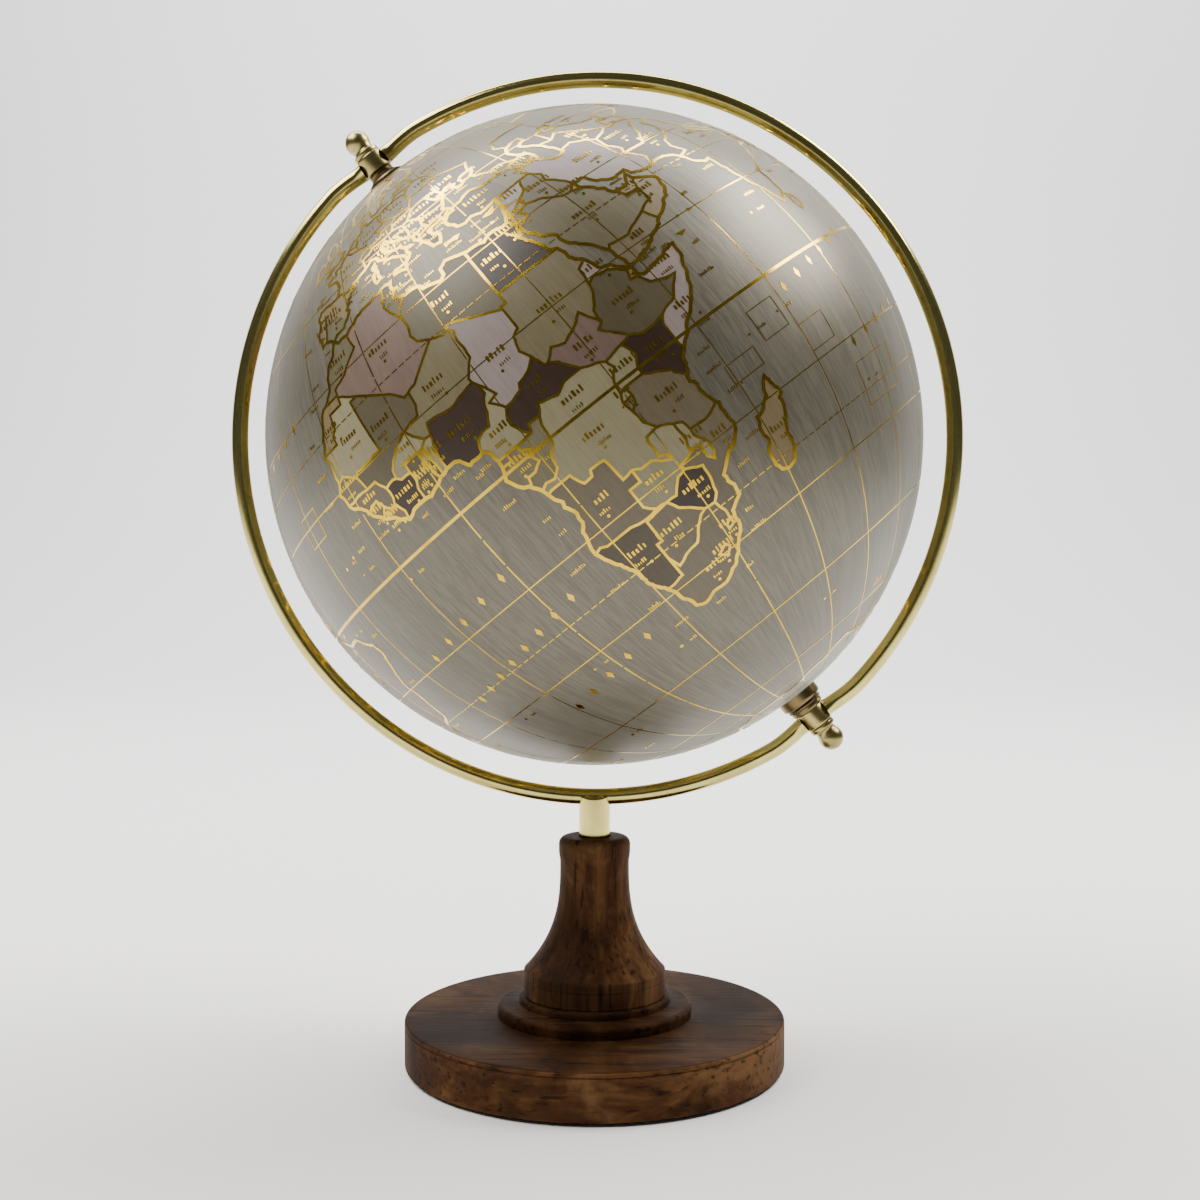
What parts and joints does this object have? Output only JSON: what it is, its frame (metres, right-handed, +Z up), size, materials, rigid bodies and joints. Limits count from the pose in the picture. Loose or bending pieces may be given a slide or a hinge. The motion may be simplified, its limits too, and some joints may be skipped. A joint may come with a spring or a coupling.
{
  "type": "desktop globe",
  "caption": "Desktop globe that turns on a tilted axle inside a full brass ring, on a turned wooden base with a flared spindle.",
  "frame": {"origin": "centre of the base's underside", "axes": "+Z up; the ring lies in the XZ plane and the axle's north end leans towards -X; -Y is the front"},
  "size_m": [0.2298, 0.2032, 0.3119],
  "materials": {
    "wood": "satin lacquer on dark turned hardwood",
    "brass": "polished, lightly tarnished",
    "steel": "bright zinc plate",
    "felt": "pressed felt",
    "ball_print": "satin printed skin, silver grey sea",
    "inner_plastic": "moulded",
    "land_print": "satin print in muted earth colours",
    "foil": "stamped gold foil lines"
  },
  "bodies": {
    "stand": {"axle": "steel", "base_disc": "wood", "base_nut": "steel", "base_washer": "steel", "felt_pad": "felt", "north_boss": "brass", "north_knob": "brass", "north_spacer": "brass", "north_thrust_washer": "brass", "ring_half_east": "brass", "ring_half_west": "brass", "ring_stem": "brass", "south_boss": "brass", "south_knob": "brass", "south_spacer": "brass", "south_thrust_washer": "brass", "spindle": "wood", "tie_rod": "steel"},
    "globe": {"north_shell": "ball_print", "south_shell": "ball_print", "equator_joiner": "inner_plastic", "north_pole_cap": "brass", "south_pole_cap": "brass", "north_pole_bush": "inner_plastic", "south_pole_bush": "inner_plastic"}
  },
  "joints": [
    {"name": "globe_spin", "type": "hinge", "parent": "stand", "child": "globe", "pos_m": [0, 0, 0.197], "axis": [-0.6239, 0, 0.7815], "continuous": true}
  ]
}
